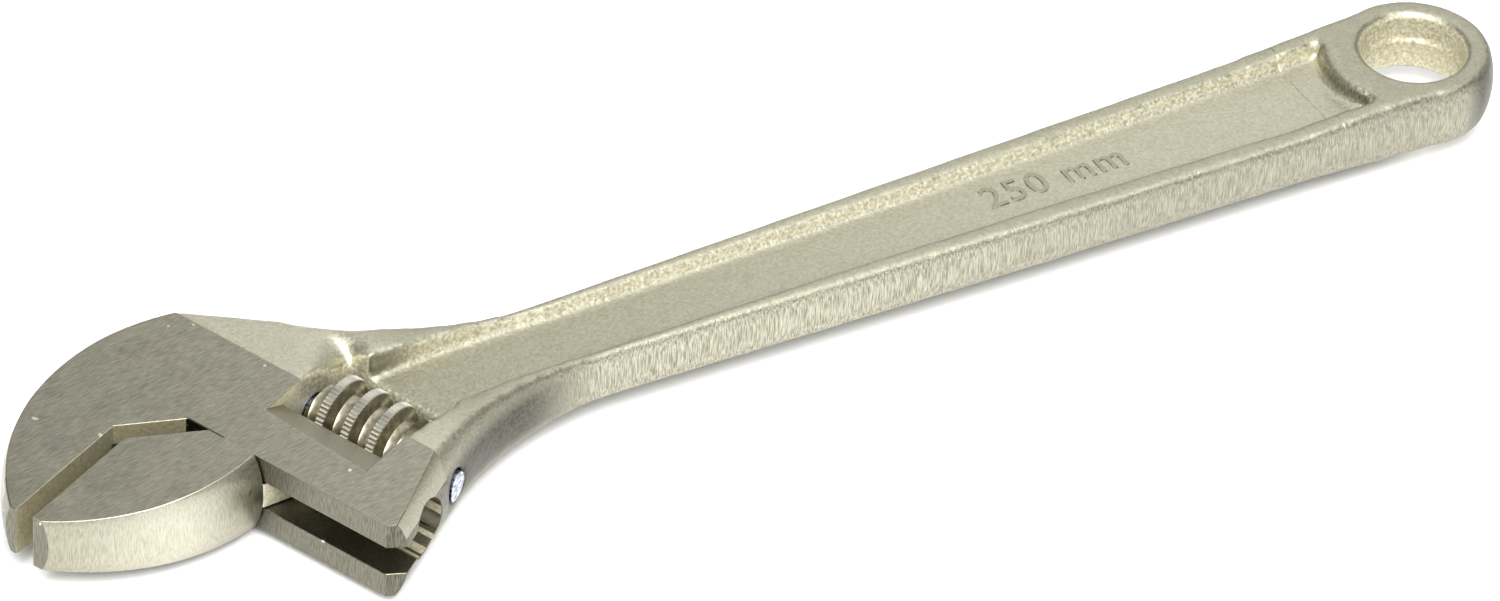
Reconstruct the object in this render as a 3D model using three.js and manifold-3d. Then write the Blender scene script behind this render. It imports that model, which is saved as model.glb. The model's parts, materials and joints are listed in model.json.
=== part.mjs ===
// Adjustable wrench, nominal length 250 mm (10 inch), lying flat.
// Millimetres, +Z up. +X runs along the handle from the jaws to the hanging hole.
// The hole's centre is the origin while modelling; the finished group is moved
// so that the middle of its base is at the origin.
import * as THREE from "three";
import { ConvexGeometry } from "three/addons/geometries/ConvexGeometry.js";
import { mergeVertices } from "three/addons/utils/BufferGeometryUtils.js";
import Module from "manifold-3d";

const wasm = await Module();
wasm.setup();

// ---------------------------------------------------------------- sizes
const gap = 0.3; // left between pieces that touch or slide on each other

// handle
const endRadius = 12.9; // round end, about the hanging hole
const endTurn = (106 * Math.PI) / 180; // how far round it goes on either side
const shoulderBack = 15; // where the handle's long edges reach the round end
const shoulderHalfWidth = 11.9;
const waistHalfWidth = 8.2; // the handle's narrowest place
const waistBehindFar = 60.9; // and how far behind the throat that is, on each side
const waistBehindNear = 68.9;
const bowBack = 75; // the long edges bow out a little between the two
const bowHalfWidth = 11;
const rimHalfHeight = 4.4; // half the handle's thickness between its ends
const bossHalfHeight = 5.4; // and round the hanging hole
const bossBack = 11; // the boss falls away to the handle between these two
const bossFootBack = 27;
const webHalfHeight = 2.3; // half the web between the recesses of both faces
const recessWaistBehind = 63.4; // the recess's floor, narrowest this far behind the throat
const recessWaistHalfWidth = 5.9;
const recessBowHalfWidth = 5.7;
const recessEndHalfWidth = 8.1;
const recessNeckBehind = 48.4; // it widens again from the waist to the window
const recessNeckHalfWidth = 6.7;
const recessFillet = 0.9;
const recessEndRadius = 14.4; // it stops round the hanging hole
const crownDepth = 5; // how far the sides draw in at the crown's own height
const crownHalfHeight = 9;

// hanging hole
const holeRadius = 8.2;
const holeMouthRadius = 9;
const holeRingRadius = 7.5; // thin ring left inside the hole at mid height
const holeRingHalfHeight = 0.8;

// head, in its own frame: x is the depth into the head from the rail that the
// moving jaw slides on, -y is the way that jaw opens, z is up
const headAngle = (22.8 * Math.PI) / 180;
const throatBack = 213.4; // from the hole to the throat, along the handle
const throatSide = 11.7;
const backRadius = 36; // round back of the head
const backCentreBehind = 6.9; // its centre, behind and across from the throat
const backCentreAcross = 18.8;
const jawLength = 29.4; // gripping faces, from the rail to the tips
const throatRelief = 7.6; // slanted face between gripping face and rail
const railHalfHeight = 6.7; // half the head's thickness at the rail
const headTaper = 0.084; // growth of that half thickness per mm of depth
const ridgeDepth = 16.4; // where the ground faces end and the neck begins
const neckFall = 0.105; // slope of the neck's faces past the ridge
const railLength = 45; // from the gripping face to the end of the lips
const lipSide = 47.8; // the near side of the neck, where it passes the rail
const lipLean = 0.3; // and its lean, for each mm of depth
const neckAngleFar = (34.2 * Math.PI) / 180;
const neckAngleNear = (36.3 * Math.PI) / 180;
const neckBehind = 13.4; // where the far side of the neck leaves the round back
const neckRadius = 50; // hollow curves that run from the neck into the handle

// channel of the moving jaw
const slotHalfWidth = 2.5;
const slotStart = -0.7; // it runs through the throat into the gripping face
const slotMouth = 7.9; // and this far in front of the rail
const boreDepth = 9.55; // the bore's axis, measured from the rail
const boreRadius = 4.6;

// worm and its window
const wormDepth = 19.7; // the worm's axis, measured from the rail
const wormRadius = 7.4;
const wormRoot = 5.3;
const threadPitch = 4.7;
const crestWidth = 1.8;
const grooveWidth = 1.5; // at the root
const crestAtRack = 21.5; // where a crest faces the rack
const windowStart = 15.5;
const windowLength = 19.9;
const windowNear = 12.6; // depth of the window's near wall
const windowFarGap = 1.1; // between the worm and the far wall
const thumbRampNarrow = 4.4; // ramp for the thumb above the near wall, at its start
const thumbRampWide = 5.6; // and at its end
const thumbRampDrop = 2.4;
const scoopReach = 7; // hollow in the neck's face that leads down into the window
const scoopFoot = 3.2; // its height at the window's far corner
const wormEndGap = 2;
const springRoom = 2.3; // between the worm and the window's other end
const pinRadius = 2.3;
const pinBlind = 4; // how far the pin goes into the wall at its hidden end
const springWireRadius = 0.42;
const springRadius = 3.2; // to the middle of the wire
const springTurns = 3;
const springSeat = 3; // depth of the spring's seat inside the worm

// moving jaw
const jawGap = 3.2; // between the gripping faces as drawn
const jawExtraHeight = 0.4; // it is that much thicker than the fixed jaw, each way
const jawRelief = 8.9; // its own slanted face
const jawBackRadius = 37;
const jawBackDepth = 1.2; // centre of its round back
const jawBackAlong = -14.6;
const heelLength = 19.1; // from its gripping face to its heel, at the rail
const shankTail = 15.2; // the shank's end behind the gripping face plane
const shankHead = 27;
const webFoot = 24; // the web widens from the heel to this
const rackClearance = 0.35; // round each thread crest

// ---------------------------------------------------------------- helpers
const up = Math.PI / 2;

// A closed geometry as a manifold-3d solid.
function solidOf(geometry) {
  const bare = geometry.index ? geometry.toNonIndexed() : geometry.clone();
  bare.deleteAttribute("normal");
  bare.deleteAttribute("uv");
  const merged = mergeVertices(bare, 1e-4);
  return new wasm.Manifold(
    new wasm.Mesh({
      numProp: 3,
      vertProperties: merged.attributes.position.array,
      triVerts: new Uint32Array(merged.index.array),
    }),
  );
}

// A solid as a named mesh with its own material.
function meshOf(name, solid, look) {
  const made = solid.getMesh();
  const geometry = new THREE.BufferGeometry();
  const position = new THREE.BufferAttribute(made.vertProperties, 3);
  geometry.setAttribute("position", position);
  geometry.setIndex(new THREE.BufferAttribute(made.triVerts, 1));
  geometry.computeVertexNormals();
  const mesh = new THREE.Mesh(geometry, new THREE.MeshStandardMaterial(look));
  mesh.name = name;
  return mesh;
}

// A plan outline as a slab between two heights.
function slab(points, low, high) {
  const geometry = new THREE.ExtrudeGeometry(new THREE.Shape(points), {
    depth: high - low,
    bevelEnabled: false,
  });
  return geometry.translate(0, 0, low);
}

// A plan outline as a slab with bulging sides: full size at mid height, drawn
// in towards the top and the bottom.
function crownedSlab(points) {
  return new THREE.ExtrudeGeometry(new THREE.Shape(points), {
    depth: 0.01,
    bevelThickness: crownHalfHeight,
    bevelSize: crownDepth,
    bevelOffset: -crownDepth,
    bevelSegments: 7,
  });
}

// A section across the head, given as depth and height, run along the rail.
function alongRail(points, from, to) {
  const geometry = new THREE.ExtrudeGeometry(new THREE.Shape(points), {
    depth: to - from,
    bevelEnabled: false,
  });
  return geometry.rotateX(up).translate(0, -from, 0);
}

// A round rod along the rail at a given depth.
function rod(radius, depth, from, to, sides) {
  const geometry = new THREE.CylinderGeometry(radius, radius, to - from, sides);
  return geometry.translate(depth, -(from + to) / 2, 0);
}

function arcPoints(centre, radius, start, end, steps) {
  const points = [];
  for (let i = 0; i <= steps; i++) {
    const turn = start + ((end - start) * i) / steps;
    const spoke = new THREE.Vector2(Math.cos(turn), Math.sin(turn));
    points.push(spoke.multiplyScalar(radius).add(centre));
  }
  return points;
}

const v2 = (x, y) => new THREE.Vector2(x, y);

const headFrame = new THREE.Matrix4()
  .makeTranslation(-throatBack, throatSide, 0)
  .multiply(new THREE.Matrix4().makeRotationZ(headAngle));

// A place given by its depth and its distance along the rail, in the head's
// frame, and the same place in the wrench's plan.
const headPoint = (depth, along) => v2(depth, -along);
function planPoint(depth, along) {
  const place = new THREE.Vector3(depth, -along, 0).applyMatrix4(headFrame);
  return v2(place.x, place.y);
}

const headHalfHeight = (depth) => railHalfHeight + headTaper * depth;
const windowEnd = windowStart + windowLength;
const windowFar = wormDepth + wormRadius + windowFarGap;
const wormStart = windowStart + wormEndGap;
const wormEnd = windowEnd - springRoom;
const waistBackFar = throatBack - waistBehindFar;
const waistBackNear = throatBack - waistBehindNear;

// ---------------------------------------------------------------- body
// A long edge of the handle, from its waist to the round end.
function handleEdge(side, waistBack) {
  return new THREE.QuadraticBezierCurve(
    v2(-waistBack, side * waistHalfWidth),
    v2(-bowBack, side * bowHalfWidth),
    v2(-shoulderBack, side * shoulderHalfWidth),
  ).getPoints(8);
}

// The hollow curve from a straight side of the neck to the handle's waist.
function neckCurve(side, waistBack, neckAngle) {
  const lean = Math.atan2(bowHalfWidth - waistHalfWidth, waistBack - bowBack);
  const across = waistHalfWidth + neckRadius * Math.cos(lean);
  const centre = v2(-waistBack - neckRadius * Math.sin(lean), side * across);
  const start = -side * (up + neckAngle);
  return arcPoints(centre, neckRadius, start, -side * (up - lean), 8);
}

function bodyOutline() {
  const backCentre = v2(backCentreBehind - throatBack, throatSide - backCentreAcross);
  const leave = Math.acos((neckBehind - backCentreBehind) / backRadius);
  const tip = planPoint(-jawLength, 0).sub(backCentre);
  const pastTip = Math.atan2(tip.y, tip.x) + 0.2;
  return [
    ...handleEdge(-1, waistBackNear),
    ...arcPoints(v2(0, 0), endRadius, -endTurn, endTurn, 22),
    ...handleEdge(1, waistBackFar).reverse(),
    ...neckCurve(1, waistBackFar, neckAngleFar).reverse().slice(1),
    ...arcPoints(backCentre, backRadius, leave, pastTip, 26),
    planPoint(-jawLength, railLength / 2),
    planPoint(-jawLength / 2, lipSide + (lipLean * jawLength) / 2),
    ...neckCurve(-1, waistBackNear, neckAngleNear).slice(0, -1),
  ];
}

// Everything in front of the rail and between the jaws, with the flat ends of
// the fixed jaw and of the lips.
function mouthOutline() {
  const far = 90;
  return [
    headPoint(-jawLength, -far),
    headPoint(-jawLength, 0),
    headPoint(-throatRelief, 0),
    headPoint(0, throatRelief),
    headPoint(0, railLength),
    headPoint(far, railLength + far),
    headPoint(-far, railLength + far),
    headPoint(-far, -far),
  ];
}

// Thickness of the head and neck, seen along the rail: ground faces that grow
// thicker up to the ridge, then the neck's faces falling towards the handle.
function headSection(extra) {
  const front = -jawLength - 10;
  const ridge = headHalfHeight(ridgeDepth);
  const neckEnd = ridgeDepth + (ridge - webHalfHeight) / neckFall;
  const upper = [
    v2(neckEnd, webHalfHeight + extra),
    v2(ridgeDepth, ridge + extra),
    v2(front, headHalfHeight(front) + extra),
  ];
  const lower = upper.map((p) => v2(p.x, -p.y)).reverse();
  return [...upper, ...lower];
}

// Thickness of the handle and of the boss at its end, seen from the side. It
// starts inside the head.
function handleSlab() {
  const width = endRadius * 3;
  const start = -throatBack + railLength;
  const upper = [
    v2(endRadius * 2, bossHalfHeight),
    v2(-bossBack, bossHalfHeight),
    v2(-bossFootBack, rimHalfHeight),
    v2(start, rimHalfHeight),
  ];
  const lower = upper.map((p) => v2(p.x, -p.y)).reverse();
  const geometry = new THREE.ExtrudeGeometry(new THREE.Shape([...upper, ...lower]), {
    depth: width,
    bevelEnabled: false,
  });
  return geometry.rotateX(up).translate(0, width / 2, 0);
}

// One long edge of a recess's floor, from the window to the hole's boss.
function recessEdge(side, corner) {
  const waist = v2(recessWaistBehind - throatBack, side * recessWaistHalfWidth);
  const neck = new THREE.QuadraticBezierCurve(
    corner,
    v2(recessNeckBehind - throatBack, side * recessNeckHalfWidth),
    waist,
  );
  const handle = new THREE.QuadraticBezierCurve(
    waist,
    v2(-bowBack, side * recessBowHalfWidth),
    v2(-shoulderBack, side * recessEndHalfWidth),
  );
  return [...neck.getPoints(5), ...handle.getPoints(7).slice(1, -1)];
}

// The recess in a face, which is open to the window at one end.
function recessOutline() {
  const wallTurn = Math.asin(recessEndHalfWidth / recessEndRadius);
  const start = Math.PI + wallTurn;
  const wall = arcPoints(v2(0, 0), recessEndRadius, start, Math.PI - wallTurn, 8);
  const inWindow = windowFar - 2;
  const nearCorner = planPoint(inWindow, windowEnd - 0.8);
  const farCorner = planPoint(inWindow, windowStart + 2.5);
  return [...recessEdge(-1, nearCorner), ...wall, ...recessEdge(1, farCorner).reverse()];
}

function recessCutter(side) {
  const geometry = new THREE.ExtrudeGeometry(new THREE.Shape(recessOutline()), {
    depth: crownHalfHeight - webHalfHeight,
    bevelThickness: recessFillet,
    bevelSize: recessFillet,
    bevelOffset: -recessFillet,
    bevelSegments: 3,
  });
  geometry.translate(0, 0, webHalfHeight + recessFillet);
  const upper = solidOf(geometry);
  return side > 0 ? upper : upper.mirror([0, 0, 1]);
}

// The ramp from the head's upper face down to the window's near wall, which
// grows wider towards the window's end.
function thumbRamp() {
  const top = railHalfHeight * 2;
  const foot = headHalfHeight(windowNear) - thumbRampDrop;
  const corners = [];
  const ends = [
    [windowStart, thumbRampNarrow],
    [windowEnd, thumbRampWide],
  ];
  for (const [along, width] of ends) {
    const mouth = windowNear - width;
    corners.push(new THREE.Vector3(windowNear + gap, -along, foot));
    corners.push(new THREE.Vector3(mouth, -along, headHalfHeight(mouth)));
  }
  const raised = corners.map((p) => p.clone().setZ(top));
  return new ConvexGeometry([...corners, ...raised]);
}

// The hollow that leads from the neck's upper face down to the window's far
// corner, deepest there and running out at the ridge.
function windowScoop() {
  const top = railHalfHeight * 2;
  const past = windowFar + 1;
  const face = headHalfHeight(ridgeDepth);
  const foot = windowStart + 0.5;
  const corners = [
    new THREE.Vector3(ridgeDepth + 0.5, -foot, face),
    new THREE.Vector3(past, -foot, scoopFoot),
    new THREE.Vector3(past, scoopReach - windowStart, face - neckFall * (past - ridgeDepth)),
  ];
  const raised = corners.map((p) => p.clone().setZ(top));
  return new ConvexGeometry([...corners, ...raised]);
}

// The hanging hole, turned about its own axis.
function holeCutter() {
  const flare = holeMouthRadius - holeRadius;
  const above = 2;
  const upper = [
    v2(holeRingRadius, holeRingHalfHeight * 0.6),
    v2(holeRadius, holeRingHalfHeight),
    v2(holeRadius, bossHalfHeight - flare),
    v2(holeMouthRadius + above, bossHalfHeight + above),
    v2(0, bossHalfHeight + above),
  ];
  const lower = upper.map((p) => v2(p.x, -p.y)).reverse();
  return new THREE.LatheGeometry([...lower, ...upper], 40).rotateX(up);
}

function bodySolid() {
  const far = throatBack;
  const inHead = (geometry) => solidOf(geometry.applyMatrix4(headFrame));
  const thickness = inHead(alongRail(headSection(0), -far, far)).add(solidOf(handleSlab()));
  let body = solidOf(crownedSlab(bodyOutline())).intersect(thickness);
  const slot = [
    headPoint(-slotMouth, railLength * 2),
    headPoint(boreDepth, railLength * 2),
    headPoint(boreDepth, slotStart),
    headPoint(-slotMouth, slotStart),
  ];
  const window = [
    headPoint(windowNear, windowEnd),
    headPoint(windowFar, windowEnd),
    headPoint(windowFar, windowStart),
    headPoint(windowNear, windowStart),
  ];
  const pinHole = pinRadius + gap;
  const cuts = [
    slab(mouthOutline(), -far, far),
    slab(slot, -slotHalfWidth, slotHalfWidth),
    rod(boreRadius, boreDepth, -far, far, 36),
    slab(window, -far, far),
    rod(pinHole, wormDepth, windowStart - pinBlind - gap, far, 24),
  ];
  for (const cut of cuts) body = body.subtract(inHead(cut));
  for (const cut of [thumbRamp(), windowScoop()]) {
    const upper = inHead(cut);
    body = body.subtract(upper).subtract(upper.mirror([0, 0, 1]));
  }
  for (const side of [-1, 1]) body = body.subtract(recessCutter(side));
  return body.subtract(solidOf(holeCutter()));
}

// ---------------------------------------------------------------- moving jaw
// Drawn where it stands when the gripping faces are jawGap apart.
function bladeOutline() {
  const centre = headPoint(jawBackDepth, jawBackAlong);
  const past = 0.15;
  const tipTurn = Math.acos((jawLength + jawBackDepth) / jawBackRadius);
  const heelTurn = Math.asin(jawBackDepth / jawBackRadius);
  const start = Math.PI + tipTurn - past;
  const round = arcPoints(centre, jawBackRadius, start, 3 * up - heelTurn, 20);
  return [
    ...round,
    headPoint(jawLength, jawGap + heelLength),
    headPoint(jawLength, -railLength),
    headPoint(-jawLength * 1.2, -railLength),
  ];
}

function jawSolid() {
  const far = throatBack;
  const heel = jawGap + heelLength;
  const relief = jawGap + jawRelief;
  const room = [
    headPoint(-jawLength, railLength),
    headPoint(-gap, railLength),
    headPoint(-gap, relief - gap),
    headPoint(-jawRelief, jawGap),
    headPoint(-jawLength, jawGap),
  ];
  const web = [
    headPoint(-1, heel - 1),
    headPoint(0, heel),
    headPoint(boreDepth / 2, webFoot),
    headPoint(boreDepth, shankHead - 1),
    headPoint(boreDepth, relief - 1),
    headPoint(-1, relief),
  ];
  const webHalf = slotHalfWidth - gap;
  const shank = rod(boreRadius - gap, boreDepth, -shankTail, shankHead, 36);
  let jaw = solidOf(crownedSlab(bladeOutline()));
  jaw = jaw.intersect(solidOf(slab(room, -far, far)));
  jaw = jaw.intersect(solidOf(alongRail(headSection(jawExtraHeight), -far, far)));
  jaw = jaw.add(solidOf(slab(web, -webHalf, webHalf))).add(solidOf(shank));
  for (const along of rackPlaces()) jaw = jaw.subtract(rackCutter(along));
  return jaw;
}

// Where the thread's crests face the rack, as far as they reach the shank.
function rackPlaces() {
  const places = [];
  const back = Math.floor((crestAtRack + shankTail) / threadPitch);
  let along = crestAtRack - back * threadPitch;
  while (along - threadPitch / 2 < shankHead) {
    places.push(along);
    along += threadPitch;
  }
  return places;
}

// One groove of the rack: the thread's profile with clearance all round, as a
// straight cut that leans like the thread does.
function rackCutter(along) {
  const root = wormDepth - wormRadius - rackClearance;
  const top = wormDepth;
  const flank = (threadPitch - crestWidth - grooveWidth) / 2;
  const lean = flank / (wormRadius - wormRoot);
  const half = crestWidth / 2 + rackClearance;
  const wide = half + lean * (top - root);
  const groove = [
    headPoint(root, half),
    headPoint(top, wide),
    headPoint(top, -wide),
    headPoint(root, -half),
  ];
  const helixLean = threadPitch / (2 * Math.PI * (wormDepth - root));
  const cutter = slab(groove, -boreRadius * 2, boreRadius * 2);
  cutter.rotateX(-Math.atan(helixLean));
  return solidOf(cutter.translate(0, -along, 0));
}

// ---------------------------------------------------------------- worm
// The thread's radius at a share of one turn, where 0 is mid crest.
function threadRadius(share) {
  const away = Math.abs(share - Math.round(share)) * threadPitch;
  const flank = (threadPitch - crestWidth - grooveWidth) / 2;
  const down = THREE.MathUtils.clamp((away - crestWidth / 2) / flank, 0, 1);
  return THREE.MathUtils.lerp(wormRadius, wormRoot, down);
}

// The worm about its own axis, which is z here: the thread's cross-section,
// run along the axis and turned once for each pitch.
function wormSolid() {
  const sides = 24;
  const step = threadPitch / sides;
  const steps = Math.round((wormEnd - wormStart) / step);
  const outline = [];
  for (let i = 0; i < sides; i++) {
    const turn = (2 * Math.PI * i) / sides;
    const radius = threadRadius(i / sides);
    outline.push(v2(radius * Math.cos(turn), radius * Math.sin(turn)));
  }
  const length = steps * step;
  const geometry = new THREE.ExtrudeGeometry(new THREE.Shape(outline), {
    depth: length,
    steps,
    bevelEnabled: false,
  });
  const place = geometry.attributes.position;
  const spot = new THREE.Vector3();
  const axis = new THREE.Vector3(0, 0, 1);
  for (let i = 0; i < place.count; i++) {
    spot.fromBufferAttribute(place, i);
    spot.applyAxisAngle(axis, (2 * Math.PI * spot.z) / threadPitch);
    place.setXYZ(i, spot.x, spot.y, spot.z);
  }
  // Both ends are bevelled by a turned blank, which also leaves the pin's hole
  // and the seat of the spring.
  const bevel = 1.6;
  const hole = pinRadius + gap;
  const seat = springRadius + springWireRadius + gap;
  const blank = [
    v2(hole, 0),
    v2(wormRadius - bevel, 0),
    v2(wormRadius + 0.2, bevel),
    v2(wormRadius + 0.2, length - bevel),
    v2(wormRadius - bevel, length),
    v2(seat, length),
    v2(seat, length - springSeat),
    v2(hole, length - springSeat),
    v2(hole, 0),
  ];
  const turned = solidOf(new THREE.LatheGeometry(blank, 24).rotateX(up));
  return solidOf(geometry).intersect(turned);
}

// ---------------------------------------------------------------- pin, spring
function pinSolid() {
  const start = windowStart - pinBlind;
  const pin = rod(pinRadius, wormDepth, start, railLength * 2, 24);
  const neck = solidOf(crownedSlab(bodyOutline()));
  return solidOf(pin.applyMatrix4(headFrame)).intersect(neck);
}

// The middle line of the spring's wire, round the worm's axis, which is z here.
class Coil extends THREE.Curve {
  getPoint(share) {
    const turn = 2 * Math.PI * springTurns * share;
    const x = springRadius * Math.cos(turn);
    const y = springRadius * Math.sin(turn);
    const low = wormEnd - springSeat + springWireRadius + gap;
    const high = windowEnd - springWireRadius - gap;
    return new THREE.Vector3(x, y, THREE.MathUtils.lerp(low, high, share));
  }
}

function springSolid() {
  const sides = 8;
  const last = 2 * Math.PI * (1 - 1 / sides);
  const wire = arcPoints(v2(0, 0), springWireRadius, 0, last, sides - 1);
  const geometry = new THREE.ExtrudeGeometry(new THREE.Shape(wire), {
    steps: springTurns * 14,
    extrudePath: new Coil(),
    bevelEnabled: false,
  });
  return solidOf(geometry);
}

// ---------------------------------------------------------------- assembly
const forged = { color: 0xb5ad98, roughness: 0.5, metalness: 0.9 };
const groundSteel = { color: 0x9f998a, roughness: 0.38, metalness: 1 };
const plated = { color: 0xc2b79c, roughness: 0.22, metalness: 1 };
const bareSteel = { color: 0x8f97a3, roughness: 0.3, metalness: 1 };
const springSteel = { color: 0x77726a, roughness: 0.35, metalness: 1 };

const body = meshOf("body", bodySolid(), forged);
const jaw = meshOf("moving_jaw", jawSolid(), groundSteel);
const worm = meshOf("adjusting_worm", wormSolid(), plated);
const pin = meshOf("worm_pin", pinSolid(), bareSteel);
const spring = meshOf("worm_spring", springSolid(), springSteel);

// The worm and its spring share an axis along the rail. A crest faces the rack.
worm.position.z = wormStart;
worm.rotation.z = Math.PI - (2 * Math.PI * (crestAtRack - wormStart)) / threadPitch;
const wormAxis = new THREE.Group();
wormAxis.position.x = wormDepth;
wormAxis.rotation.x = up;
wormAxis.add(worm, spring);

const head = new THREE.Group();
head.applyMatrix4(headFrame);
head.add(jaw, wormAxis);

const wrench = new THREE.Group();
wrench.add(body, pin, head);
const box = new THREE.Box3().setFromObject(wrench, true);
const middle = box.getCenter(new THREE.Vector3());
wrench.position.set(-middle.x, -middle.y, -box.min.z);

const part = new THREE.Group();
part.add(wrench);

export default part;
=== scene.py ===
import bpy
import bmesh
import json
from math import radians, pi, cos, sin, atan2, hypot
from mathutils import Matrix, Vector


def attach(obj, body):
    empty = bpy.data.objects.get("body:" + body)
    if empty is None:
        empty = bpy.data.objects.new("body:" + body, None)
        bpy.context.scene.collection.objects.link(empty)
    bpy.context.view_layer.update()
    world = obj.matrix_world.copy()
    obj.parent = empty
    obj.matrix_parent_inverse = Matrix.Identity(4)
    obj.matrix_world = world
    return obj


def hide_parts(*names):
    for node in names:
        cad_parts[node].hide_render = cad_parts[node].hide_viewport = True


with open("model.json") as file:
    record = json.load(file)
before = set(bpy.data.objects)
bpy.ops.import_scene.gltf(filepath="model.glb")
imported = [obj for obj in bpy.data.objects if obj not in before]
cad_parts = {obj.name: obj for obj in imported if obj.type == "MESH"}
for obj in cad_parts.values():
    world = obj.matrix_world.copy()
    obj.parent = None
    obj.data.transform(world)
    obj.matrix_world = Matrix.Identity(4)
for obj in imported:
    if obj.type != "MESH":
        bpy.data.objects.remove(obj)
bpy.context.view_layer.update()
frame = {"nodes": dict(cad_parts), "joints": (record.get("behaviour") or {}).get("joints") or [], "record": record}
joints = {joint["name"]: joint for joint in frame["joints"]}
mounts = {mount["name"]: mount for mount in frame["record"]["mounts"]}
print("frame loaded")

mm = 0.001
rail = Vector(joints["jaw_slide"]["axis"]).normalized()  # the way the jaw opens
depthWay = Vector((-rail.y, rail.x, 0))  # from the jaw tips towards the handle
headTurn = atan2(depthWay.y, depthWay.x)
head = {"mountDepth": -18 * mm, "ridge": 16.4 * mm, "windowStart": 15.5 * mm, "windowEnd": 35.4 * mm,
        "windowNear": 12.6 * mm, "windowFar": 28.2 * mm, "windowRoom": 0.4 * mm}
throat = Vector(mounts["fixed_jaw_face"]["pos_m"]) - depthWay * head["mountDepth"]
middle = throat.z  # height of the plane halfway through the wrench
ring = Vector(mounts["hole_boss_top"]["pos_m"])
hole = {"centre": Vector((ring.x - 10.4 * mm, ring.y, middle)), "mouth": 9.0 * mm, "rim": 0.3 * mm}
doubles = 0.004 * mm  # points nearer than this are one


# depth from the throat, distance along the rail and height over the middle
def inHead(point):
    away = point - throat
    return away.dot(depthWay), away.dot(rail), point.z - middle


# small helpers
def deselectAll():
    if bpy.context.mode != "OBJECT":
        bpy.ops.object.mode_set(mode="OBJECT")
    bpy.ops.object.select_all(action="DESELECT")


def makeActive(piece):
    deselectAll()
    piece.select_set(True)
    bpy.context.view_layer.objects.active = piece


# a copy of a node's mesh, with its triangles merged into flat faces
def copyOfNode(node, name):
    piece = frame["nodes"][node].copy()
    piece.data = frame["nodes"][node].data.copy()
    piece.name = name
    piece.data.name = name
    piece.parent = None
    for key in list(piece.keys()):
        if key.startswith("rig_"):
            del piece[key]
    bpy.context.scene.collection.objects.link(piece)
    makeActive(piece)
    piece.data.materials.clear()
    bpy.ops.object.mode_set(mode="EDIT")
    bpy.ops.mesh.select_all(action="SELECT")
    bpy.ops.mesh.remove_doubles(threshold=doubles)
    bpy.ops.mesh.dissolve_limited(angle_limit=radians(0.6))
    bpy.ops.object.mode_set(mode="OBJECT")
    if piece.data.has_custom_normals:
        bpy.ops.mesh.customdata_custom_splitnormals_clear()
    return piece


# rounds the edges that wanted(middle, angle) picks
def bevelEdges(piece, wanted, width, segments):
    makeActive(piece)
    bpy.ops.object.mode_set(mode="EDIT")
    bpy.ops.mesh.select_all(action="DESELECT")
    bpy.ops.mesh.select_mode(type="EDGE")
    shape = bmesh.from_edit_mesh(piece.data)
    chosen = 0
    for edge in shape.edges:
        if len(edge.link_faces) != 2:
            continue
        spot = (edge.verts[0].co + edge.verts[1].co) / 2
        if wanted(spot, edge.calc_face_angle(0)):
            edge.select_set(True)
            chosen += 1
    bmesh.update_edit_mesh(piece.data)
    bpy.ops.mesh.bevel(offset=width, offset_type="OFFSET", segments=segments, affect="EDGES",
                       clamp_overlap=False)
    bpy.ops.object.mode_set(mode="OBJECT")
    print(piece.name, "edges rounded:", chosen)


def smoothShade(piece, angle):
    makeActive(piece)
    bpy.ops.object.shade_smooth_by_angle(angle=radians(angle))
    even = piece.modifiers.new("evenNormals", "WEIGHTED_NORMAL")
    even.keep_sharp = True
    even.weight = 60
    bpy.ops.object.modifier_apply(modifier=even.name)


# gives each face the material whose name chooseFinish(middle, normal) returns
def paintFaces(piece, materials, chooseFinish):
    names = list(materials)
    for material in materials.values():
        piece.data.materials.append(material)
    for face in piece.data.polygons:
        face.material_index = names.index(chooseFinish(face.center, face.normal))


# materials
def newMaterial(name, colour, roughness, metallic=1.0):
    made = bpy.data.materials.new(name)
    made.use_nodes = True
    tree = made.node_tree
    shader = tree.nodes["Principled BSDF"]
    shader.inputs["Base Color"].default_value = (*colour, 1)
    shader.inputs["Roughness"].default_value = roughness
    shader.inputs["Metallic"].default_value = metallic
    return made, tree, shader


def addNode(tree, kind, **values):
    node = tree.nodes.new(kind)
    for name, value in values.items():
        setattr(node, name, value)
    return node


def objectMapping(tree, turn=(0, 0, 0), scale=(1, 1, 1)):
    coords = addNode(tree, "ShaderNodeTexCoord")
    turned = addNode(tree, "ShaderNodeMapping")
    turned.inputs["Rotation"].default_value = turn
    tree.links.new(coords.outputs["Object"], turned.inputs["Vector"])
    if scale == (1, 1, 1):
        return turned.outputs["Vector"]
    scaled = addNode(tree, "ShaderNodeMapping")
    scaled.inputs["Scale"].default_value = scale
    tree.links.new(turned.outputs["Vector"], scaled.inputs["Vector"])
    return scaled.outputs["Vector"]


def noiseAt(tree, vector, scale, detail=2.0, roughness=0.5):
    noise = addNode(tree, "ShaderNodeTexNoise")
    noise.inputs["Scale"].default_value = scale
    noise.inputs["Detail"].default_value = detail
    noise.inputs["Roughness"].default_value = roughness
    tree.links.new(vector, noise.inputs["Vector"])
    return noise.outputs["Fac"]


def rangeOf(tree, value, fromLow, fromHigh, toLow=0.0, toHigh=1.0):
    node = addNode(tree, "ShaderNodeMapRange")
    numbers = {"From Min": fromLow, "From Max": fromHigh, "To Min": toLow, "To Max": toHigh}
    for socket, number in numbers.items():
        node.inputs[socket].default_value = number
    tree.links.new(value, node.inputs["Value"])
    return node.outputs["Result"]


def blendOf(tree, factor, first, second, kind="RGBA"):
    node = addNode(tree, "ShaderNodeMix", data_type=kind)
    places = (6, 7) if kind == "RGBA" else (2, 3)
    tree.links.new(factor, node.inputs[0])
    for place, value in zip(places, (first, second)):
        if isinstance(value, tuple):
            node.inputs[place].default_value = (*value, 1)
        elif isinstance(value, float):
            node.inputs[place].default_value = value
        else:
            tree.links.new(value, node.inputs[place])
    return node.outputs[2 if kind == "RGBA" else 0]


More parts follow.
